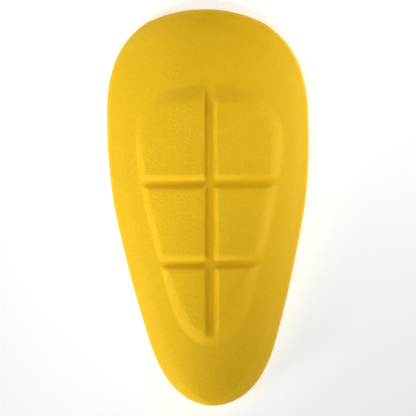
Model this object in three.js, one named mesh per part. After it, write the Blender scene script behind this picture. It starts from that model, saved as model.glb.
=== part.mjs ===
// A hip pad for riding trousers: one piece of moulded yellow foam, egg-shaped in plan and domed. It lies on its
// flat rim with its hollow side down. A raised panel on the outer face is cut by one groove along the pad and two
// across it. X runs across the pad, Y from its narrow tip to its wide top end, and Z out of it.
import * as THREE from "three";

// The outline in plan. Lengths are in millimetres.
const padLength = 220; // from the top edge to the tip
const padWidth = 112; // across the widest part
const topArcRadius = 75; // the top edge is a flatter arc, which leaves a faint corner at each of its ends
const topArcOffset = -2.1; // how far to the side its centre lies
const trimmedLength = 2; // how much of the egg it trims away
const topLean = 2; // how far the top end leans to the left
const leanShare = 0.25; // the share of the length that leans
const outlineSkew = 1; // degrees by which the outline is cut askew of the raised panel

// Heights and thicknesses.
const domeHeight = 20; // how far the middle stands above the rim
const ridgePower = 0.35; // the dome's ridge is nearly level, and falls most at the pad's two ends
const sectionPower = 2.2; // of the dome's curve across the pad
const mostStretch = 1.3; // of the wall's upright thickness, where the dome is steep
const footRise = 1.5; // how far the dome rises over the flat foot of the rim
const rimThickness = 6.5;
const topRimThickness = 6.6;
const flangeThickness = 7.5;
const rimTaper = 10; // the width over which the flange thins towards the rim
const topBevelLength = 13.5; // a bevel thins the top end too, beyond a straight line across the pad
const topBevelBlend = 3; // how softly the bevel starts
const upperEdgeRadius = 2;
const lowerEdgeRadius = 0.7;
const leastHalfWidth = 0.001; // which the egg's width never falls below, at its very ends
const footWidth = 2; // the least width of the flat foot

// The raised panel, measured to the foot of its slopes.
const topFlangeWidth = 42.7; // from the pad's edge to the panel, at each end and at the widest part
const tipFlangeWidth = 34.3;
const sideFlangeWidth = 15.2;
const panelRise = 2.2;
const topSlopeWidth = 13;
const tipSlopeWidth = 8;
const leftSlopeWidth = 4.2;
const rightSlopeWidth = 7;
const slopePower = 0.65; // the slopes are steepest near their foot
const topSlopeShare = 0.2; // the shares of the panel's length in which its slopes widen
const tipSlopeShare = 0.35;

// The grooves in the panel.
const leftGrooveWidth = 3.8; // of the lengthwise groove, from its middle to each shoulder
const rightGrooveWidth = 5.1;
const leftFloorWidth = 0.4; // and from its middle to the foot of each wall
const rightFloorWidth = 1;
const grooveEndLength = 13; // over which it runs out towards the panel's tip
const crossGrooveWidth = 8.4; // from shoulder to shoulder
const crossFloorWidth = 0.8;
const grooveDepth = 2.3;
const crossGrooveShares = [0.374, 0.683]; // of the panel's length, from its top

// How much fuller than an ellipse each outline is, at shares of its length from the top.
const padFullness = [
  { along: 0.0, fullness: 1.49 },
  { along: 0.1, fullness: 1.36 },
  { along: 0.2, fullness: 1.215 },
  { along: 0.3, fullness: 1.09 },
  { along: 0.4, fullness: 1.007 },
  { along: 0.5, fullness: 0.945 },
  { along: 0.6, fullness: 0.884 },
  { along: 0.7, fullness: 0.845 },
  { along: 0.8, fullness: 0.835 },
  { along: 0.9, fullness: 0.884 },
  { along: 1.0, fullness: 0.97 },
];
const panelFullness = [
  { along: 0.0, fullness: 2.25 },
  { along: 0.05, fullness: 1.7 },
  { along: 0.1, fullness: 1.5 },
  { along: 0.2, fullness: 1.25 },
  { along: 0.3, fullness: 1.06 },
  { along: 0.4, fullness: 0.935 },
  { along: 0.5, fullness: 0.85 },
  { along: 0.6, fullness: 0.78 },
  { along: 0.7, fullness: 0.735 },
  { along: 0.8, fullness: 0.72 },
  { along: 0.9, fullness: 0.765 },
  { along: 1.0, fullness: 0.8 },
];

// The fineness of the mesh.
const outlineSamples = 720;
const rowSpacing = 4.5; // between the rays that cross the pad
const slopeRowSpacing = 2; // where they cross the panel's end slopes
const grooveRowSpacing = 1.27; // where they cross a groove
const fanShare = 0.12; // the share of the length at each end where the rays fan out
const fanRays = 15;
const edgeSteps = 3; // round the upper edge
const leastPanelShare = 0.27; // of a ray, where the panel is narrower than this or absent
const frontSteps = [1, 3, 3, 3, 2, 4]; // groove floor, groove wall, block, slope, flange, taper
const backSteps = 6;

const topY = padLength / 2;
const eggTopY = topY + trimmedLength;
const eggLength = padLength + trimmedLength;
const panelWidth = padWidth - 2 * sideFlangeWidth;
const panelLength = padLength - topFlangeWidth - tipFlangeWidth;
const panelTopY = topY - topFlangeWidth;
const panelTipY = panelTopY - panelLength;
const crossGrooveYs = crossGrooveShares.map((share) => panelTopY - share * panelLength);
const thinnestRim = Math.min(rimThickness, topRimThickness);
const edgeRadius = Math.min(upperEdgeRadius, thinnestRim - 2 * lowerEdgeRadius);

const { clamp, degToRad, lerp, smoothstep } = THREE.MathUtils;
const ease = (value) => smoothstep(value, 0, 1);

// A table's value anywhere along it, on a smooth curve through its rows.
function readTable(table, along) {
  const last = table.length - 1;
  const row = (index) => table[clamp(index, 0, last)];
  const slopeAt = (index) => {
    const [before, after] = [row(index - 1), row(index + 1)];
    return (after.fullness - before.fullness) / (after.along - before.along);
  };
  const passed = table.filter((entry) => entry.along <= along).length;
  const upper = clamp(passed, 1, last);
  const [a, b] = [row(upper - 1), row(upper)];
  const span = b.along - a.along;
  const t = clamp((along - a.along) / span, 0, 1);
  const bend = span * t * (1 - t) * ((1 - t) * slopeAt(upper - 1) - t * slopeAt(upper));
  return lerp(a.fullness, b.fullness, ease(t)) + bend;
}

// Half the width of an ellipse of the given width, made fuller as the table says.
function halfWidthAt(along, width, table) {
  const share = clamp(along, 0, 1);
  return width * Math.sqrt(share * (1 - share)) * readTable(table, share);
}

// A closed ring of points, anticlockwise from the tip, where pointAt takes a side and a share of the length.
function makeRing(pointAt) {
  return Array.from({ length: outlineSamples }, (_, i) => {
    const angle = (2 * Math.PI * i) / outlineSamples;
    return pointAt(Math.sign(Math.sin(angle)), (1 + Math.cos(angle)) / 2);
  });
}

function padPointAt(side, share) {
  const lean = topLean * Math.max(0, 1 - share / leanShare) ** 2;
  const x = side * halfWidthAt(share, padWidth, padFullness) - lean;
  const point = new THREE.Vector2(x, eggTopY - share * eggLength);
  const arcCentre = new THREE.Vector2(topArcOffset, topY - topArcRadius);
  const fromArc = point.clone().sub(arcCentre);
  if (fromArc.y > 0 && fromArc.length() > topArcRadius) {
    point.copy(arcCentre).add(fromArc.setLength(topArcRadius));
  }
  return point.rotateAround(new THREE.Vector2(0, 0), degToRad(outlineSkew));
}

function panelPointAt(side, share) {
  const x = side * halfWidthAt(share, panelWidth, panelFullness);
  return new THREE.Vector2(x, panelTopY - share * panelLength);
}

const padRing = makeRing(padPointAt);
const panelRing = makeRing(panelPointAt);

function distanceToRing(ring, x, y) {
  let nearest = Infinity;
  ring.forEach((a, i) => {
    const b = ring[(i + 1) % ring.length];
    const [dx, dy] = [b.x - a.x, b.y - a.y];
    const lengthSquared = dx * dx + dy * dy;
    if (lengthSquared === 0) return;
    const t = clamp(((x - a.x) * dx + (y - a.y) * dy) / lengthSquared, 0, 1);
    nearest = Math.min(nearest, Math.hypot(x - a.x - t * dx, y - a.y - t * dy));
  });
  return nearest;
}

function panelHalfWidth(y) {
  return halfWidthAt((panelTopY - y) / panelLength, panelWidth, panelFullness);
}

// The width of the panel's slope, which is wider at the panel's two ends than along its sides.
function slopeWidthAt(x, y) {
  const share = clamp((panelTopY - y) / panelLength, 0, 1);
  const nearTop = 1 - ease(share / topSlopeShare);
  const nearTip = ease((share - 1 + tipSlopeShare) / tipSlopeShare);
  const atSide = lerp(leftSlopeWidth, rightSlopeWidth, ease(0.5 + x / panelWidth));
  return atSide + (topSlopeWidth - atSide) * nearTop + (tipSlopeWidth - atSide) * nearTip;
}

// How deep a groove is at a distance from its middle, from 1 on its floor to 0 at its shoulders.
function grooveShare(distance, floor, shoulder) {
  return 1 - ease((Math.abs(distance) - floor) / (shoulder - floor));
}

function crossShare(distance) {
  return grooveShare(distance, crossFloorWidth / 2, crossGrooveWidth / 2);
}

function lengthwiseShare(x, y) {
  const [floor, shoulder] = x < 0 ? [leftFloorWidth, leftGrooveWidth] : [rightFloorWidth, rightGrooveWidth];
  return grooveShare(x, floor, shoulder) * ease((y - panelTipY) / grooveEndLength);
}

// The panel and its grooves, as a height over the flange.
function reliefAt(x, y) {
  if (Math.abs(x) >= panelHalfWidth(y)) return 0;
  const crossShares = crossGrooveYs.map((grooveY) => crossShare(y - grooveY));
  const uncut = crossShares.reduce((left, share) => left * (1 - share), 1 - lengthwiseShare(x, y));
  const rise = panelRise - grooveDepth * (1 - uncut);
  const climbed = clamp(distanceToRing(panelRing, x, y) / slopeWidthAt(x, y), 0, 1);
  return rise * ease(climbed ** slopePower);
}

// A dome over the egg, as a height over the rim's inner face.
function domeAt(x, y) {
  const share = clamp((topY - y) / padLength, 0, 1);
  const ridge = domeHeight * (4 * share * (1 - share)) ** ridgePower;
  const halfWidth = halfWidthAt((eggTopY - y) / eggLength, padWidth, padFullness);
  return ridge * Math.max(0, 1 - (Math.abs(x) / Math.max(halfWidth, leastHalfWidth)) ** sectionPower);
}

// How much taller than its thickness a sloping wall is, measured upright.
function uprightStretch(x, y) {
  const step = 0.5;
  const slopeX = (domeAt(x + step, y) - domeAt(x - step, y)) / (2 * step);
  const slopeY = (domeAt(x, y + step) - domeAt(x, y - step)) / (2 * step);
  return Math.min(Math.hypot(1, slopeX, slopeY), mostStretch);
}

function topBevelAt(y) {
  const past = Math.max(0, y - topY + topBevelLength);
  const fallen = (past * past) / (past + topBevelBlend);
  const whole = (topBevelLength * topBevelLength) / (topBevelLength + topBevelBlend);
  return ((flangeThickness - topRimThickness) * fallen) / whole;
}

function frontAt(x, y) {
  const taper = (flangeThickness - rimThickness) * (1 - ease(distanceToRing(padRing, x, y) / rimTaper));
  const thickness = flangeThickness - Math.max(taper, topBevelAt(y)) + reliefAt(x, y);
  return domeAt(x, y) + thickness * uprightStretch(x, y);
}

function backAt(x, y) {
  return Math.max(0, domeAt(x, y) - footRise);
}

// Where a ray from inside the pad leaves its outline, and the direction that points inwards from there.
function hitOutline(origin, direction) {
  const count = padRing.length;
  const at = (index) => padRing[(index + count) % count];
  const hits = [];
  padRing.forEach((a, index) => {
    const edge = at(index + 1).clone().sub(a);
    const offset = a.clone().sub(origin);
    const crossing = direction.cross(edge);
    const reach = offset.cross(edge) / crossing;
    const t = offset.cross(direction) / crossing;
    if (reach > 0 && t >= 0 && t < 1) hits.push({ index, t });
  });
  const { index, t } = hits[0];
  const point = at(index).clone().lerp(at(index + 1), t);
  const along = at(index + 2).clone().sub(at(index - 1)).normalize();
  return { point, inward: new THREE.Vector2(-along.y, along.x) };
}

// Values from the first stop to the last, with each stretch between two stops in its own number of equal steps.
function subdivide(stops, steps) {
  const values = [stops[0]];
  steps.forEach((count, i) => {
    for (let k = 1; k <= count; k++) values.push(lerp(stops[i], stops[i + 1], k / count));
  });
  return values;
}

// The heights of the rays that run straight across the pad. Each mark sets their spacing from there upwards.
function rowHeights() {
  const lowest = (fanShare - 0.5) * padLength;
  const highest = -lowest;
  const marks = [
    { y: lowest, spacing: rowSpacing },
    { y: panelTipY, spacing: slopeRowSpacing },
    { y: panelTipY + 2 * tipSlopeWidth, spacing: rowSpacing },
    { y: panelTopY - 2 * topSlopeWidth, spacing: slopeRowSpacing },
    { y: panelTopY, spacing: rowSpacing },
  ];
  crossGrooveYs.forEach((grooveY) => {
    marks.push({ y: grooveY - crossGrooveWidth / 2, spacing: grooveRowSpacing });
    marks.push({ y: grooveY + crossGrooveWidth / 2, spacing: rowSpacing });
  });
  marks.sort((a, b) => a.y - b.y);
  const stops = [...marks.map((mark) => clamp(mark.y, lowest, highest)), highest];
  const steps = marks.map(({ spacing }, i) => Math.ceil((stops[i + 1] - stops[i]) / spacing));
  return subdivide(stops, steps);
}

// Rays from the pad's centre line to its outline: up the right side, round the top, down the left side and round
// the tip.
function makeRays(rows) {
  const rays = [];
  const addRay = (row, angle) => {
    const origin = new THREE.Vector2(0, rows[row]);
    const direction = new THREE.Vector2(Math.cos(angle), Math.sin(angle));
    rays.push({ row, origin, ...hitOutline(origin, direction) });
  };
  const lastRow = rows.length - 1;
  for (let row = 0; row < lastRow; row++) addRay(row, 0);
  for (let k = 0; k < fanRays; k++) addRay(lastRow, (Math.PI * k) / fanRays);
  for (let row = lastRow; row > 0; row--) addRay(row, Math.PI);
  for (let k = 0; k < fanRays; k++) addRay(0, Math.PI * (1 + k / fanRays));
  return rays;
}

const rows = rowHeights();
const rays = makeRays(rows);
const vertices = [];
const triangles = [];

function addVertex(x, y, z) {
  vertices.push(x, y, z);
  return vertices.length / 3 - 1;
}

// A ring of vertices a fixed distance inside the outline.
function addInsetRing(inset, heightAt) {
  return rays.map(({ point, inward }) => {
    const place = point.clone().addScaledVector(inward, inset);
    return addVertex(place.x, place.y, heightAt(place.x, place.y));
  });
}

// The rings of vertices of one face, from the centre line outwards, short of the inset ring that borders it.
function addFaceRings(inset, heightAt, stationsAt) {
  const spine = rows.map((y) => addVertex(0, y, heightAt(0, y)));
  const columns = rays.map(({ row, origin, point, inward }) => {
    const end = point.clone().addScaledVector(inward, inset);
    const reach = end.distanceTo(origin);
    const stations = stationsAt(reach, end.x / reach, origin.y);
    const places = stations.map((distance) => origin.clone().lerp(end, distance / reach));
    return [spine[row], ...places.map(({ x, y }) => addVertex(x, y, heightAt(x, y)))];
  });
  return columns[0].map((_, k) => columns.map((column) => column[k]));
}

// The distances along a ray of the front face's vertices, closer together on the groove and on the slope. The ray
// runs from -1, straight to the left, to 1, straight to the right.
function frontStations(reach, side, y) {
  const floor = lerp(leftFloorWidth, rightFloorWidth, (1 + side) / 2);
  const shoulder = lerp(leftGrooveWidth, rightGrooveWidth, (1 + side) / 2);
  const foot = Math.max(panelHalfWidth(y), leastPanelShare * reach, 2 * shoulder);
  const crest = Math.max(foot - slopeWidthAt(side * foot, y), (shoulder + foot) / 2);
  const taper = Math.max(reach - rimTaper, (foot + reach) / 2);
  const stops = [0, floor, shoulder, crest, foot, taper, reach];
  return subdivide(stops, frontSteps).slice(1, -1);
}

function backStations(reach) {
  return subdivide([0, reach], [backSteps]).slice(1, -1);
}

// Triangles between each ring and the next one out.
function joinRings(rings, facesUp) {
  const addTriangle = (a, b, c) => {
    if (a === b || b === c || c === a) return;
    triangles.push(...(facesUp ? [a, b, c] : [a, c, b]));
  };
  rings.slice(1).forEach((outer, k) => {
    const inner = rings[k];
    inner.forEach((_, i) => {
      const next = (i + 1) % inner.length;
      addTriangle(inner[i], outer[i], outer[next]);
      addTriangle(inner[i], outer[next], inner[next]);
    });
  });
}

// The whole skin: the front face, its rounded edge, the wall, the flat foot and the hollow back.
function makePadGeometry() {
  const upperEdge = [];
  for (let k = edgeSteps; k >= 0; k--) {
    const angle = ((Math.PI / 2) * k) / edgeSteps;
    const drop = edgeRadius * (1 - Math.sin(angle));
    upperEdge.push(addInsetRing(edgeRadius * (1 - Math.cos(angle)), (x, y) => frontAt(x, y) - drop));
  }
  const front = addFaceRings(edgeRadius, frontAt, frontStations);
  const wallFoot = addInsetRing(0, () => lowerEdgeRadius);
  const footOuter = addInsetRing(lowerEdgeRadius, () => 0);
  const footInner = addInsetRing(footWidth, () => 0);
  const back = addFaceRings(footWidth, backAt, backStations);
  joinRings([...front, ...upperEdge, wallFoot], true);
  joinRings([...back, footInner, footOuter, wallFoot], false);

  const geometry = new THREE.BufferGeometry();
  geometry.setAttribute("position", new THREE.Float32BufferAttribute(vertices, 3));
  geometry.setIndex(triangles);
  geometry.computeBoundingBox();
  const centre = geometry.boundingBox.getCenter(new THREE.Vector3());
  geometry.translate(-centre.x, -centre.y, 0);
  geometry.computeVertexNormals();
  return geometry;
}

const foam = new THREE.MeshStandardMaterial({ color: 0xe2b01c, roughness: 0.75, metalness: 0 });
const pad = new THREE.Mesh(makePadGeometry(), foam);
pad.name = "pad";

const hipPad = new THREE.Group();
hipPad.add(pad);

export default hipPad;
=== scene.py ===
"""A moulded foam hip pad, seen from straight above on a pale floor.

The pad is one fine mesh. Its shape is worked out in millimetres, in the part's own frame, with Y along the
pad and Z out of it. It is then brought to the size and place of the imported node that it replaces.
"""

import math

import bpy
import numpy as np
from mathutils import Matrix, Vector, noise

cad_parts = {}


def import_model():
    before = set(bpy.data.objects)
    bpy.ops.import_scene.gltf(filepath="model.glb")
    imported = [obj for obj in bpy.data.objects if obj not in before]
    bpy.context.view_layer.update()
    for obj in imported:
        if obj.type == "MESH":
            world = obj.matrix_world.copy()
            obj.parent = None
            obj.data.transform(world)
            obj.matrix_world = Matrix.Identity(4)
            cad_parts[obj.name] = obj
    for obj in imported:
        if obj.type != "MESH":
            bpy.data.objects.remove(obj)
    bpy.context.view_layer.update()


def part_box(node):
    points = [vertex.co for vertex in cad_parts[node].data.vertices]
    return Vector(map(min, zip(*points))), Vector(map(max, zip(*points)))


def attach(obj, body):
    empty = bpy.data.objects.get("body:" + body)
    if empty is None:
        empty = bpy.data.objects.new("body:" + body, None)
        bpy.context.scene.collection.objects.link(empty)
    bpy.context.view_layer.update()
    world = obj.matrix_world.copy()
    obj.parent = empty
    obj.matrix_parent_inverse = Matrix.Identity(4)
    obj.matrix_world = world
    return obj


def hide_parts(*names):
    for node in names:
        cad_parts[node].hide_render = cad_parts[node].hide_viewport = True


MM = 0.001  # in metres
TINY = 1e-12  # stands in for a zero that would be divided by

# The outline in plan, in millimetres.
PAD_LENGTH = 220.0  # from the top edge to the tip
PAD_WIDTH = 112.0  # across the widest part
TOP_ARC_RADIUS = 75.0  # the top edge is a flatter arc, which leaves a faint corner at each of its ends
TOP_ARC_OFFSET = -2.1  # how far to the side its centre lies
TRIMMED_LENGTH = 2.0  # how much of the egg it trims away
TOP_LEAN = 2.0  # how far the top end leans to the left
LEAN_SHARE = 0.25  # the share of the length that leans
OUTLINE_SKEW = math.radians(1.0)  # by which the outline is cut askew of the raised panel

# Heights and thicknesses.
DOME_HEIGHT = 20.0  # how far the middle stands above the rim
RIDGE_POWER = 0.35  # the dome's ridge is nearly level, and falls most at the pad's two ends
SECTION_POWER = 2.2  # of the dome's curve across the pad
MOST_STRETCH = 1.3  # of the wall's upright thickness, where the dome is steep
FOOT_RISE = 1.5  # how far the dome rises over the flat foot of the rim
RIM_THICKNESS = 6.5
TOP_RIM_THICKNESS = 6.6
FLANGE_THICKNESS = 7.5
RIM_TAPER = 10.0  # the width over which the flange thins towards the rim
TOP_BEVEL_LENGTH = 13.5  # a bevel thins the top end too, beyond a straight line across the pad
TOP_BEVEL_BLEND = 3.0  # how softly the bevel starts
UPPER_EDGE_RADIUS = 2.0
LOWER_EDGE_RADIUS = 0.7
LEAST_HALF_WIDTH = 0.001  # which the egg's width never falls below, at its very ends
FOOT_WIDTH = 2.0  # the least width of the foot

# The raised panel, measured to the foot of its slopes.
TOP_FLANGE_WIDTH = 42.7  # from the pad's edge to the panel, at each end and at the widest part
TIP_FLANGE_WIDTH = 34.3
SIDE_FLANGE_WIDTH = 15.2
PANEL_RISE = 2.2
TOP_SLOPE_WIDTH = 13.0
TIP_SLOPE_WIDTH = 8.0
LEFT_SLOPE_WIDTH = 4.2
RIGHT_SLOPE_WIDTH = 7.0
SLOPE_POWER = 0.65  # the slopes are steepest near their foot
TOP_SLOPE_SHARE = 0.2  # the shares of the panel's length in which its slopes widen
TIP_SLOPE_SHARE = 0.35

# The grooves in the panel.
LEFT_GROOVE_WIDTH = 3.8  # of the lengthwise groove, from its middle to each shoulder
RIGHT_GROOVE_WIDTH = 5.1
LEFT_FLOOR_WIDTH = 0.4  # and from its middle to the foot of each wall
RIGHT_FLOOR_WIDTH = 1.0
GROOVE_END_LENGTH = 13.0  # over which it runs out towards the panel's tip
CROSS_GROOVE_WIDTH = 8.4  # from shoulder to shoulder
CROSS_FLOOR_WIDTH = 0.8
GROOVE_DEPTH = 2.3
CROSS_GROOVE_SHARES = (0.374, 0.683)  # of the panel's length, from its top

# How much fuller than an ellipse each outline is: (share of its length from the top, fullness).
PAD_FULLNESS = (
    (0.0, 1.49),
    (0.1, 1.36),
    (0.2, 1.215),
    (0.3, 1.09),
    (0.4, 1.007),
    (0.5, 0.945),
    (0.6, 0.884),
    (0.7, 0.845),
    (0.8, 0.835),
    (0.9, 0.884),
    (1.0, 0.97),
)
PANEL_FULLNESS = (
    (0.0, 2.25),
    (0.05, 1.7),
    (0.1, 1.5),
    (0.2, 1.25),
    (0.3, 1.06),
    (0.4, 0.935),
    (0.5, 0.85),
    (0.6, 0.78),
    (0.7, 0.735),
    (0.8, 0.72),
    (0.9, 0.765),
    (1.0, 0.8),
)

# The fineness of the mesh.
RING_SAMPLES = 1440  # round each outline
ROW_SPACING = 1.3  # between the rays that cross the pad
GROOVE_ROW_SPACING = 0.45  # where they cross a groove
FAN_SHARE = 0.12  # the share of the length at each end where the rays fan out
FAN_RAYS = 60
EDGE_STEPS = 7  # round the upper and the lower edge
LEAST_PANEL_SHARE = 0.27  # of a ray, where the panel is narrower than this or absent
FRONT_STEPS = (2, 9, 24, 10, 10, 12)  # groove floor, groove wall, block, slope, flange, taper
BACK_STEPS = 20
DISTANCE_BATCH = 2000  # how many points are set against an outline at once

# The foam's unevenness, from the mould and from handling: (size of the swells, height).
SWELLS = ((34.0, 0.16), (13.0, 0.05))
SWELL_LAYER_GAP = 7.3  # between the slices of the noise that two sizes use

# The photographer's view. The pad's frame is turned a little in the picture.
PICTURE_SIZE = 416  # in pixels
PIXEL_SPAN = 0.5568  # in millimetres of the floor
PICTURE_CENTRE = (208.34, 207.54)  # the pixel where the pad's centre lies
PICTURE_TURN = math.radians(-0.45)
CAMERA_HEIGHT = 1.9  # in metres

TOP_Y = PAD_LENGTH / 2
EGG_TOP_Y = TOP_Y + TRIMMED_LENGTH
EGG_LENGTH = PAD_LENGTH + TRIMMED_LENGTH
PANEL_WIDTH = PAD_WIDTH - 2 * SIDE_FLANGE_WIDTH
PANEL_LENGTH = PAD_LENGTH - TOP_FLANGE_WIDTH - TIP_FLANGE_WIDTH
PANEL_TOP_Y = TOP_Y - TOP_FLANGE_WIDTH
PANEL_TIP_Y = PANEL_TOP_Y - PANEL_LENGTH
CROSS_GROOVE_YS = [PANEL_TOP_Y - share * PANEL_LENGTH for share in CROSS_GROOVE_SHARES]


def ease(value):
    """A smooth step from 0 to 1."""
    t = np.clip(value, 0, 1)
    return t * t * (3 - 2 * t)


def read_table(table, along):
    """A table's values anywhere along it, on a smooth curve through its rows."""
    places, values = np.array(table).T
    slopes = np.empty_like(values)
    slopes[1:-1] = (values[2:] - values[:-2]) / (places[2:] - places[:-2])
    slopes[0] = (values[1] - values[0]) / (places[1] - places[0])
    slopes[-1] = (values[-1] - values[-2]) / (places[-1] - places[-2])
    lower = np.clip(np.searchsorted(places, along, side="right") - 1, 0, len(places) - 2)
    span = places[lower + 1] - places[lower]
    t = np.clip((along - places[lower]) / span, 0, 1)
    bend = span * t * (1 - t) * ((1 - t) * slopes[lower] - t * slopes[lower + 1])
    return values[lower] + (values[lower + 1] - values[lower]) * ease(t) + bend


def half_width(along, width, table):
    """Half the width of an ellipse of that width, made fuller as the table says."""
    share = np.clip(along, 0, 1)
    return width * np.sqrt(share * (1 - share)) * read_table(table, share)


def ring_shares():
    """The side and the share of the length of each point of an outline, anticlockwise from its tip."""
    angle = np.linspace(0, 2 * math.pi, RING_SAMPLES, endpoint=False)
    return np.sign(np.sin(angle)), (1 + np.cos(angle)) / 2


def pad_outline():
    """An egg that leans at its top, is trimmed there by a flatter arc, and is turned by its skew."""
    side, share = ring_shares()
    lean = TOP_LEAN * np.maximum(0, 1 - share / LEAN_SHARE) ** 2
    x = side * half_width(share, PAD_WIDTH, PAD_FULLNESS) - lean
    points = np.column_stack((x, EGG_TOP_Y - share * EGG_LENGTH))
    centre = np.array((TOP_ARC_OFFSET, TOP_Y - TOP_ARC_RADIUS))
    from_arc = points - centre
    reach = np.hypot(*from_arc.T)
    outside = (from_arc[:, 1] > 0) & (reach > TOP_ARC_RADIUS)
    points[outside] = centre + from_arc[outside] * (TOP_ARC_RADIUS / reach[outside])[:, None]
    cos, sin = math.cos(OUTLINE_SKEW), math.sin(OUTLINE_SKEW)
    return points @ np.array(((cos, sin), (-sin, cos)))


def panel_outline():
    side, share = ring_shares()
    x = side * half_width(share, PANEL_WIDTH, PANEL_FULLNESS)
    return np.column_stack((x, PANEL_TOP_Y - share * PANEL_LENGTH))


PAD_RING = pad_outline()
PANEL_RING = panel_outline()


def distance_to_ring(ring, x, y):
    """How far each point is from a closed outline."""
    edges = np.roll(ring, -1, axis=0) - ring
    lengths_squared = np.maximum((edges**2).sum(axis=1), TINY)
    points = np.column_stack((np.ravel(x), np.ravel(y)))
    nearest = []
    for start in range(0, len(points), DISTANCE_BATCH):
        offset = points[start : start + DISTANCE_BATCH, None] - ring
        t = np.clip((offset * edges).sum(axis=2) / lengths_squared, 0, 1)
        gap = offset - t[..., None] * edges
        nearest.append(np.sqrt((gap**2).sum(axis=2).min(axis=1)))
    return np.concatenate(nearest).reshape(np.shape(x))


def panel_half_width(y):
    return half_width((PANEL_TOP_Y - y) / PANEL_LENGTH, PANEL_WIDTH, PANEL_FULLNESS)


def slope_width(x, y):
    """The width of the panel's slope, which is wider at the panel's two ends than along its sides."""
    share = np.clip((PANEL_TOP_Y - y) / PANEL_LENGTH, 0, 1)
    near_top = 1 - ease(share / TOP_SLOPE_SHARE)
    near_tip = ease((share - 1 + TIP_SLOPE_SHARE) / TIP_SLOPE_SHARE)
    at_side = LEFT_SLOPE_WIDTH + (RIGHT_SLOPE_WIDTH - LEFT_SLOPE_WIDTH) * ease(0.5 + x / PANEL_WIDTH)
    return at_side + (TOP_SLOPE_WIDTH - at_side) * near_top + (TIP_SLOPE_WIDTH - at_side) * near_tip


def groove_share(distance, floor, shoulder):
    """How deep a groove is at a distance from its middle, from 1 on its floor to 0 at its shoulders."""
    return 1 - ease((np.abs(distance) - floor) / (shoulder - floor))


def cross_share(distance):
    return groove_share(distance, CROSS_FLOOR_WIDTH / 2, CROSS_GROOVE_WIDTH / 2)


def lengthwise_share(x, y):
    floor = np.where(x < 0, LEFT_FLOOR_WIDTH, RIGHT_FLOOR_WIDTH)
    shoulder = np.where(x < 0, LEFT_GROOVE_WIDTH, RIGHT_GROOVE_WIDTH)
    return groove_share(x, floor, shoulder) * ease((y - PANEL_TIP_Y) / GROOVE_END_LENGTH)


def panel_share(x, y):
    """1 on the panel, 0 on the flange, and between them on the slope."""
    inside = np.abs(x) < panel_half_width(y)
    climbed = np.clip(distance_to_ring(PANEL_RING, x, y) / slope_width(x, y), 0, 1)
    return np.where(inside, ease(climbed**SLOPE_POWER), 0)


def grooves(x, y):
    """1 on the floor of any groove, 0 on the blocks."""
    uncut = 1 - lengthwise_share(x, y)
    for groove_y in CROSS_GROOVE_YS:
        uncut = uncut * (1 - cross_share(y - groove_y))
    return 1 - uncut


def dome(x, y):
    """A dome over the egg. Its ridge is nearly level, and falls most at the pad's two ends."""
    share = np.clip((TOP_Y - y) / PAD_LENGTH, 0, 1)
    ridge = DOME_HEIGHT * (4 * share * (1 - share)) ** RIDGE_POWER
    widest = half_width((EGG_TOP_Y - y) / EGG_LENGTH, PAD_WIDTH, PAD_FULLNESS)
    across = np.abs(x) / np.maximum(widest, LEAST_HALF_WIDTH)
    return ridge * np.maximum(0, 1 - across**SECTION_POWER)


def upright_stretch(x, y):
    """How much taller than its thickness a sloping wall is, measured upright."""
    step = 0.5  # over which the dome's slope is measured
    slope_x = (dome(x + step, y) - dome(x - step, y)) / (2 * step)
    slope_y = (dome(x, y + step) - dome(x, y - step)) / (2 * step)
    return np.minimum(np.sqrt(1 + slope_x**2 + slope_y**2), MOST_STRETCH)


def top_bevel(y):
    past = np.maximum(0, y - TOP_Y + TOP_BEVEL_LENGTH)
    fallen = past**2 / (past + TOP_BEVEL_BLEND)
    whole = TOP_BEVEL_LENGTH**2 / (TOP_BEVEL_LENGTH + TOP_BEVEL_BLEND)
    return (FLANGE_THICKNESS - TOP_RIM_THICKNESS) * fallen / whole


def swell(x, y):
    """The slight unevenness of the moulded face."""
    total = np.zeros(np.shape(x))
    for layer, (size, height) in enumerate(SWELLS):
        places = zip(np.ravel(x) / size, np.ravel(y) / size)
        values = [noise.noise(Vector((a, b, SWELL_LAYER_GAP * layer))) for a, b in places]
        total += height * np.reshape(values, np.shape(x))
    return total


def front_height(x, y):
    rim_share = 1 - ease(distance_to_ring(PAD_RING, x, y) / RIM_TAPER)
    thinned = np.maximum((FLANGE_THICKNESS - RIM_THICKNESS) * rim_share, top_bevel(y))
    relief = panel_share(x, y) * (PANEL_RISE - GROOVE_DEPTH * grooves(x, y))
    thickness = FLANGE_THICKNESS - thinned + relief + swell(x, y) * (1 - rim_share)
    return dome(x, y) + thickness * upright_stretch(x, y)


def back_height(x, y):
    return np.maximum(0, dome(x, y) - FOOT_RISE)


def subdivide(stops, steps):
    """Values from the first stop to the last, each stretch in its own number of equal steps."""
    parts = [np.linspace(stops[i], stops[i + 1], count, endpoint=False) for i, count in enumerate(steps)]
    return np.concatenate(parts + [np.array([stops[-1]])])


def row_heights():
    """The heights of the rays that run straight across the pad, closer together at the cross grooves."""
    lowest = (FAN_SHARE - 0.5) * PAD_LENGTH
    stops = [lowest]
    steps = []
    for groove_y in sorted(CROSS_GROOVE_YS):
        lower = groove_y - CROSS_GROOVE_WIDTH / 2
        upper = groove_y + CROSS_GROOVE_WIDTH / 2
        steps.append(math.ceil((lower - stops[-1]) / ROW_SPACING))
        steps.append(math.ceil(CROSS_GROOVE_WIDTH / GROOVE_ROW_SPACING))
        stops += [lower, upper]
    steps.append(math.ceil((-lowest - stops[-1]) / ROW_SPACING))
    return subdivide(stops + [-lowest], steps)


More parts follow.
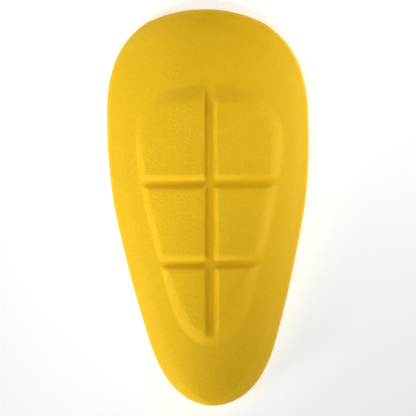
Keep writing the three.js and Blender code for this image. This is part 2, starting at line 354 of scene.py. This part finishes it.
def hit_outline(origin, direction):
    """Where a ray from inside the pad leaves its outline, and the direction straight inwards from there."""
    edge = np.roll(PAD_RING, -1, axis=0) - PAD_RING
    offset = PAD_RING - origin
    crossing = direction[0] * edge[:, 1] - direction[1] * edge[:, 0]
    crossing = np.where(np.abs(crossing) < TINY, TINY, crossing)
    reach = (offset[:, 0] * edge[:, 1] - offset[:, 1] * edge[:, 0]) / crossing
    t = (offset[:, 0] * direction[1] - offset[:, 1] * direction[0]) / crossing
    index = int(np.argmax((reach > 0) & (t >= 0) & (t < 1)))
    point = PAD_RING[index] + t[index] * edge[index]
    along = PAD_RING[(index + 2) % RING_SAMPLES] - PAD_RING[index - 1]
    along = along / np.hypot(*along)
    return point, np.array((-along[1], along[0]))


def make_rays():
    """Rays from the pad's centre line to its outline: up the right side, round the top, down the left side
    and round the tip. Returns the rows, and the row, origin, end and inward direction of each ray."""
    rows = row_heights()
    last = len(rows) - 1
    fan = np.arange(FAN_RAYS) * math.pi / FAN_RAYS
    starts = [(row, 0.0) for row in range(last)]
    starts += [(last, angle) for angle in fan]
    starts += [(row, math.pi) for row in range(last, 0, -1)]
    starts += [(0, math.pi + angle) for angle in fan]
    row = np.array([start[0] for start in starts])
    origin = np.column_stack((np.zeros(len(row)), rows[row]))
    hits = [
        hit_outline(start, (math.cos(angle), math.sin(angle)))
        for start, (_, angle) in zip(origin, starts)
    ]
    end = np.array([point for point, _ in hits])
    inward = np.array([towards for _, towards in hits])
    return rows, row, origin, end, inward


def front_stations(reach, side, y):
    """The distances along a ray of the front face's vertices, closest together on the groove and the slope.
    The side is -1 for a ray straight to the left and 1 for one straight to the right."""
    rightness = (1 + side) / 2
    floor = LEFT_FLOOR_WIDTH + (RIGHT_FLOOR_WIDTH - LEFT_FLOOR_WIDTH) * rightness
    shoulder = LEFT_GROOVE_WIDTH + (RIGHT_GROOVE_WIDTH - LEFT_GROOVE_WIDTH) * rightness
    foot = max(panel_half_width(y), LEAST_PANEL_SHARE * reach, 2 * shoulder)
    crest = max(foot - slope_width(side * foot, y), (shoulder + foot) / 2)
    taper = max(reach - RIM_TAPER, (foot + reach) / 2)
    stops = (0, floor, shoulder, crest, foot, taper, reach)
    return subdivide(stops, FRONT_STEPS)[1:-1]


def back_stations(reach, *_):
    """The distances along a ray of the back face's vertices, evenly spaced."""
    return subdivide((0, reach), (BACK_STEPS,))[1:-1]


class Skin:
    """The pad's vertices and faces, gathered as rings that run round it."""

    def __init__(self):
        self.rows, self.row, self.origin, self.end, self.inward = make_rays()
        self.vertices = []
        self.faces = []
        self.count = 0

    def add(self, x, y, z):
        """Adds vertices and returns their numbers."""
        self.vertices.append(np.column_stack((np.ravel(x), np.ravel(y), np.ravel(z))))
        first = self.count
        self.count += np.size(x)
        return np.arange(first, self.count).reshape(np.shape(x))

    def inset_ring(self, inset, height):
        x, y = (self.end + inset * self.inward).T
        return self.add(x, y, height(x, y))

    def face_rings(self, inset, height, stations):
        """The rings of one face, from the centre line outwards, short of the inset ring that borders it."""
        ends = self.end + inset * self.inward
        reach = np.hypot(*(ends - self.origin).T)
        sides = ends[:, 0] / reach
        shares = np.array([stations(*ray) / ray[0] for ray in zip(reach, sides, self.origin[:, 1])])
        places = self.origin[:, None] + shares[..., None] * (ends - self.origin)[:, None]
        x, y = places[..., 0], places[..., 1]
        numbers = self.add(x, y, height(x, y))
        spine = self.add(0 * self.rows, self.rows, height(0 * self.rows, self.rows))
        return [spine[self.row]] + list(numbers.T)

    def join(self, rings, faces_up):
        """Faces between each ring and the next one out."""
        for inner, outer in zip(rings[:-1], rings[1:]):
            corners = np.column_stack((inner, outer, np.roll(outer, -1), np.roll(inner, -1)))
            for a, b, c, d in corners.tolist():
                face = (a, b, c) if a == d else (a, b, c, d)
                self.faces.append(face if faces_up else face[::-1])


def make_pad_mesh():
    """The whole skin: the front face, its rounded edge, the wall, the flat foot and the hollow back."""
    skin = Skin()
    upper_edge = []
    for angle in np.linspace(math.pi / 2, 0, EDGE_STEPS + 1):
        inset = UPPER_EDGE_RADIUS * (1 - math.cos(angle))
        drop = UPPER_EDGE_RADIUS * (1 - math.sin(angle))
        upper_edge.append(skin.inset_ring(inset, lambda x, y: front_height(x, y) - drop))
    front = skin.face_rings(UPPER_EDGE_RADIUS, front_height, front_stations)
    lower_edge = []
    for angle in np.linspace(0, math.pi / 2, EDGE_STEPS + 1):
        inset = LOWER_EDGE_RADIUS * (1 - math.cos(angle))
        height = LOWER_EDGE_RADIUS * (1 - math.sin(angle))
        lower_edge.append(skin.inset_ring(inset, lambda x, y: np.full(np.shape(x), height)))
    foot = skin.inset_ring(FOOT_WIDTH, lambda x, y: np.zeros(np.shape(x)))
    back = skin.face_rings(FOOT_WIDTH, back_height, back_stations)
    skin.join(front + upper_edge + lower_edge[:1], faces_up=True)
    skin.join(back + [foot] + lower_edge[::-1], faces_up=False)
    vertices = np.concatenate(skin.vertices)
    vertices[:, :2] -= (vertices[:, :2].min(axis=0) + vertices[:, :2].max(axis=0)) / 2
    mesh = bpy.data.meshes.new("foam_pad")
    mesh.from_pydata(vertices.tolist(), [], skin.faces)
    mesh.polygons.foreach_set("use_smooth", [True] * len(mesh.polygons))
    return mesh


def vertex_places(mesh):
    """The places of a mesh's vertices, one to a row."""
    places = np.empty(len(mesh.vertices) * 3)
    mesh.vertices.foreach_get("co", places)
    return places.reshape(-1, 3)


def add_attributes(mesh):
    """Marks the outer face, and how deep each of its vertices lies in a groove or is raised on a block."""
    x, y, z = vertex_places(mesh).T
    middle = (PAD_RING.min(axis=0) + PAD_RING.max(axis=0)) / 2
    x = x + middle[0]
    y = y + middle[1]
    outer = (z > dome(x, y) + FLANGE_THICKNESS / 2).astype(float)
    panel = outer * panel_share(x, y)
    cut = grooves(x, y)
    marks = {"outer": outer, "recess": panel * cut, "raised": panel * (1 - cut)}
    for name, values in marks.items():
        mesh.attributes.new(name, "FLOAT", "POINT").data.foreach_set("value", values)


def fit_to_box(mesh, low, high):
    """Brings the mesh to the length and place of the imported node."""
    y = vertex_places(mesh)[:, 1]
    scale = (high[1] - low[1]) / (y.max() - y.min())
    centre = ((low[0] + high[0]) / 2, (low[1] + high[1]) / 2, low[2])
    mesh.transform(Matrix.Translation(centre) @ Matrix.Scale(scale, 4))


class Nodes:
    """Short calls for the nodes of one material."""

    def __init__(self, name):
        self.material = bpy.data.materials.new(name)
        self.material.use_nodes = True
        self.tree = self.material.node_tree
        self.shader = self.tree.nodes["Principled BSDF"]
        self.place = self.tree.nodes.new("ShaderNodeTexCoord").outputs["Object"]

    def add(self, kind, inputs=None, **settings):
        node = self.tree.nodes.new("ShaderNode" + kind)
        for name, value in settings.items():
            setattr(node, name, value)
        for name, value in (inputs or {}).items():
            self.set(node.inputs[name], value)
        return node

    def set(self, socket, value):
        if isinstance(value, bpy.types.NodeSocket):
            self.tree.links.new(value, socket)
        else:
            socket.default_value = value

    def noise(self, size, detail=2.0, roughness=0.5):
        """Noise whose patches are about this size, in metres, from 0 to 1."""
        inputs = {"Vector": self.place, "Scale": 1 / size, "Detail": detail, "Roughness": roughness}
        return self.add("TexNoise", inputs).outputs["Fac"]

    def ramp(self, value, low, high, to_low=0.0, to_high=1.0):
        """A value between low and high, taken to the range between to_low and to_high."""
        inputs = {"Value": value, "From Min": low, "From Max": high, "To Min": to_low, "To Max": to_high}
        return self.add("MapRange", inputs).outputs["Result"]

    def mix(self, share, first, second):
        """A mix of two colours. The numbers are those of the node's colour sockets."""
        node = self.add("Mix", data_type="RGBA")
        self.set(node.inputs[0], share)
        self.set(node.inputs[6], first)
        self.set(node.inputs[7], second)
        return node.outputs[2]

    def math(self, operation, first, second):
        node = self.add("Math", operation=operation)
        self.set(node.inputs[0], first)
        self.set(node.inputs[1], second)
        return node.outputs[0]

    def attribute(self, name):
        return self.add("Attribute", attribute_name=name).outputs["Fac"]

    def bump(self, height, distance, strength=1.0, normal=None):
        inputs = {"Height": height, "Distance": distance, "Strength": strength}
        if normal is not None:
            inputs["Normal"] = normal
        return self.add("Bump", inputs).outputs["Normal"]


# The foam's colours, one of them a darker orange painted on the groove floors as painted shade, and the
# sizes of its mottling and its two grains.
FOAM_YELLOW = (0.81, 0.49, 0.001, 1)
FOAM_PALE = (0.81, 0.505, 0.006, 1)
FOAM_DEEP = (0.71, 0.41, 0.001, 1)
# a darker orange painted into the grooves as shade
GROOVE_SHADE_ORANGE = (0.80, 0.44, 0.001, 1)
NICK_BROWN = (0.48, 0.24, 0.001, 1)
PATCH_SIZE = 26 * MM
GRAIN_SIZE = 1.5 * MM
FINE_GRAIN_SIZE = 0.6 * MM

# How the colours and the finish follow the patches, the grain and the grooves, which each run from 0 to 1.
PATCH_RANGE = (0.35, 0.65)
GRAIN_RANGE = (0.3, 0.7)
DEEPEST_SHARE = 0.5  # of the deeper colour, in the hollows of the grain
GROOVE_SHADE_START = 0.6  # how deep in a groove the painted shade starts
GROOVE_SHADE_SHARE = 0.6  # of the painted shade's darker orange, on the groove's floor
NICK_SHARE = 0.35  # of the nicks' colour
ROUGHNESS_GRAIN_RANGE = (0.2, 0.8)
ROUGHNESS_RANGE = (0.62, 0.78)
SPECULAR_LEVEL = 0.22

# The heights of the bumps, in metres.
GRAIN_HEIGHT = 0.38 * MM
FINE_GRAIN_HEIGHT = 0.1 * MM
NICK_HEIGHT = 0.1 * MM
SMOOTHER_GRAIN = 0.7  # the strength of the grain off the blocks

# The pits, which crowd near the pad's tip. Their reach is in shares of their spacing.
PIT_SPACING = 3.4 * MM
PIT_REACH = 0.2
PIT_FLOOR_REACH = 0.08
PITTED_FROM = -92 * MM
PITTED_TO = -101 * MM

# Small nicks in the outer face, in millimetres: (x, y, length, width, turn in degrees).
NICKS = (
    (-32.0, -3.6, 1.6, 1.3, 0),
    (-18.9, 70.6, 1.5, 1.1, 20),
    (-22.7, 72.9, 6.0, 0.8, -49),
    (-32.2, 21.8, 1.6, 1.0, 10),
    (-30.3, 21.3, 1.3, 0.9, 0),
    (-28.7, 21.9, 1.2, 0.8, 30),
)
NICK_FLOOR_REACH = 0.3  # of a nick's reach, where its edge is at 1


def nick_reach(nodes, x, y, length, width, turn):
    """How far each place is from the middle of a nick, which is an ellipse with its edge at 1."""
    inputs = {
        "Vector": nodes.place,
        "Location": (x * MM, y * MM, 0),
        "Rotation": (0, 0, math.radians(turn)),
        "Scale": (length / 2 * MM, width / 2 * MM, 1),
    }
    ellipse = nodes.add("Mapping", inputs, vector_type="TEXTURE").outputs["Vector"]
    return nodes.add("VectorMath", {0: ellipse}, operation="LENGTH").outputs["Value"]


def nicks_and_pits(nodes):
    """1 in a nick or a pit of the outer face, 0 elsewhere."""
    cells = nodes.add("TexVoronoi", {"Vector": nodes.place, "Scale": 1 / PIT_SPACING})
    pits = nodes.ramp(cells.outputs["Distance"], PIT_REACH, PIT_FLOOR_REACH)
    along = nodes.add("SeparateXYZ", {"Vector": nodes.place}).outputs["Y"]
    total = nodes.math("MULTIPLY", pits, nodes.ramp(along, PITTED_FROM, PITTED_TO))
    for nick in NICKS:
        share = nodes.ramp(nick_reach(nodes, *nick), 1.0, NICK_FLOOR_REACH)
        total = nodes.math("MAXIMUM", total, share)
    return nodes.math("MULTIPLY", total, nodes.attribute("outer"))


def foam_material():
    """Yellow foam with a matt moulded skin, faintly mottled, grained and pitted, with painted shade in a
    darker orange on the floors of its grooves.
    """
    nodes = Nodes("yellow_foam")
    patches = nodes.ramp(nodes.noise(PATCH_SIZE, detail=3.0), *PATCH_RANGE)
    colour = nodes.mix(patches, FOAM_YELLOW, FOAM_PALE)
    grain = nodes.noise(GRAIN_SIZE, detail=3.0, roughness=0.6)
    colour = nodes.mix(nodes.ramp(grain, *GRAIN_RANGE, DEEPEST_SHARE, 0.0), colour, FOAM_DEEP)
    recess = nodes.attribute("recess")
    # Painted shade: the groove floors are made a darker orange, most on their floors.
    colour = nodes.mix(nodes.ramp(recess, GROOVE_SHADE_START, 1.0, 0.0, GROOVE_SHADE_SHARE), colour, GROOVE_SHADE_ORANGE)
    raised = nodes.attribute("raised")
    nicks = nicks_and_pits(nodes)
    colour = nodes.mix(nodes.math("MULTIPLY", nicks, NICK_SHARE), colour, NICK_BROWN)
    roughness = nodes.ramp(grain, *ROUGHNESS_GRAIN_RANGE, *ROUGHNESS_RANGE)
    normal = nodes.bump(grain, GRAIN_HEIGHT, nodes.ramp(raised, 0.0, 1.0, SMOOTHER_GRAIN, 1.0))
    normal = nodes.bump(nodes.noise(FINE_GRAIN_SIZE), FINE_GRAIN_HEIGHT, normal=normal)
    normal = nodes.bump(nodes.math("SUBTRACT", 1.0, nicks), NICK_HEIGHT, normal=normal)
    nodes.set(nodes.shader.inputs["Base Color"], colour)
    nodes.set(nodes.shader.inputs["Roughness"], roughness)
    nodes.set(nodes.shader.inputs["Normal"], normal)
    nodes.set(nodes.shader.inputs["Specular IOR Level"], SPECULAR_LEVEL)
    return nodes.material


FLOOR_SIZE = 6.0  # in metres
FLOOR_COLOUR = (0.93, 0.93, 0.93, 1)
FLOOR_ROUGHNESS = 0.9
FLOOR_GLOW_COLOUR = (0.75, 0.85, 1.0, 1)
FLOOR_GLOW = 0.46


def make_floor():
    """A plain square on the plane that the pad lies on, which glows a little to come out nearly white."""
    mesh = bpy.data.meshes.new("floor")
    half = FLOOR_SIZE / 2
    corners = [(-half, -half, 0), (half, -half, 0), (half, half, 0), (-half, half, 0)]
    mesh.from_pydata(corners, [], [(0, 1, 2, 3)])
    nodes = Nodes("pale_floor")
    nodes.set(nodes.shader.inputs["Base Color"], FLOOR_COLOUR)
    nodes.set(nodes.shader.inputs["Roughness"], FLOOR_ROUGHNESS)
    nodes.set(nodes.shader.inputs["Emission Color"], FLOOR_GLOW_COLOUR)
    nodes.set(nodes.shader.inputs["Emission Strength"], FLOOR_GLOW)
    mesh.materials.append(nodes.material)
    floor = bpy.data.objects.new("floor", mesh)
    bpy.context.collection.objects.link(floor)


def make_camera():
    """A long lens straight above, framed as the photograph is."""
    span = PICTURE_SIZE * PIXEL_SPAN * MM
    data = bpy.data.cameras.new("camera")
    data.lens = data.sensor_width * CAMERA_HEIGHT / span
    camera = bpy.data.objects.new("camera", data)
    turn = Matrix.Rotation(PICTURE_TURN, 4, "Z")
    across = (PICTURE_SIZE / 2 - PICTURE_CENTRE[0]) * PIXEL_SPAN * MM
    up = (PICTURE_CENTRE[1] - PICTURE_SIZE / 2) * PIXEL_SPAN * MM
    camera.matrix_world = turn @ Matrix.Translation((across, up, CAMERA_HEIGHT))
    bpy.context.collection.objects.link(camera)
    bpy.context.scene.camera = camera


WHITE = (1.0, 1.0, 1.0)
COOL_WHITE = (0.96, 1.0, 1.0)

# Each light: its name, its azimuth clockwise from the picture's top and its elevation, both in degrees, its
# distance from the point that it is aimed at, how far that point lies from the pad's centre towards its top
# end, its size, the spread of its beam in degrees, its power and its colour. Lengths are in metres.
LIGHTS = (
    ("key", 240, 12, 1.5, 0.0, 0.5, 180, 10.6, COOL_WHITE),
    ("top", 0, 89, 1.5, 0.0, 0.5, 180, 3.1, WHITE),
    ("overhead", 180, 62, 0.8, 0.1, 0.12, 26, 0.03, WHITE),
    ("upper_key", 195, 38, 0.8, 0.1, 0.12, 26, 0.024, COOL_WHITE),
    ("lower_key", 195, 22, 0.8, 0.075, 0.12, 23, 0.0275, COOL_WHITE),
    ("far_left", 320, 12, 0.6, 0.0, 0.2, 180, 0.87, COOL_WHITE),
    ("right", 90, 5.8, 0.7, 0.075, 0.12, 42, 0.185, WHITE),
)
AMBIENT = (1.0, 0.85, 0.5, 1)
AMBIENT_STRENGTH = 0.248


def make_lights():
    for name, azimuth, elevation, distance, aim, size, spread, power, colour in LIGHTS:
        data = bpy.data.lights.new(name, "AREA")
        data.shape = "DISK"
        data.size = size
        data.spread = math.radians(spread)
        data.energy = power
        data.color = colour
        light = bpy.data.objects.new(name, data)
        around = math.radians(azimuth)
        upwards = math.radians(elevation)
        level = math.cos(upwards)
        towards = Vector((math.sin(around) * level, math.cos(around) * level, math.sin(upwards)))
        light.location = Vector((0, aim, 0)) + towards * distance
        light.rotation_euler = towards.to_track_quat("Z", "Y").to_euler()
        light.visible_camera = False
        bpy.context.collection.objects.link(light)
    world = bpy.data.worlds.new("studio")
    world.use_nodes = True
    background = world.node_tree.nodes["Background"]
    background.inputs["Color"].default_value = AMBIENT
    background.inputs["Strength"].default_value = AMBIENT_STRENGTH
    bpy.context.scene.world = world
    bpy.context.scene.view_settings.view_transform = "Standard"


def main():
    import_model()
    make_camera()
    make_lights()
    make_floor()
    low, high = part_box("pad")
    mesh = make_pad_mesh()
    add_attributes(mesh)
    fit_to_box(mesh, low, high)
    mesh.materials.append(foam_material())
    pad = bpy.data.objects.new("foam_pad", mesh)
    bpy.context.collection.objects.link(pad)
    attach(pad, "root")
    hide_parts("pad")


main()
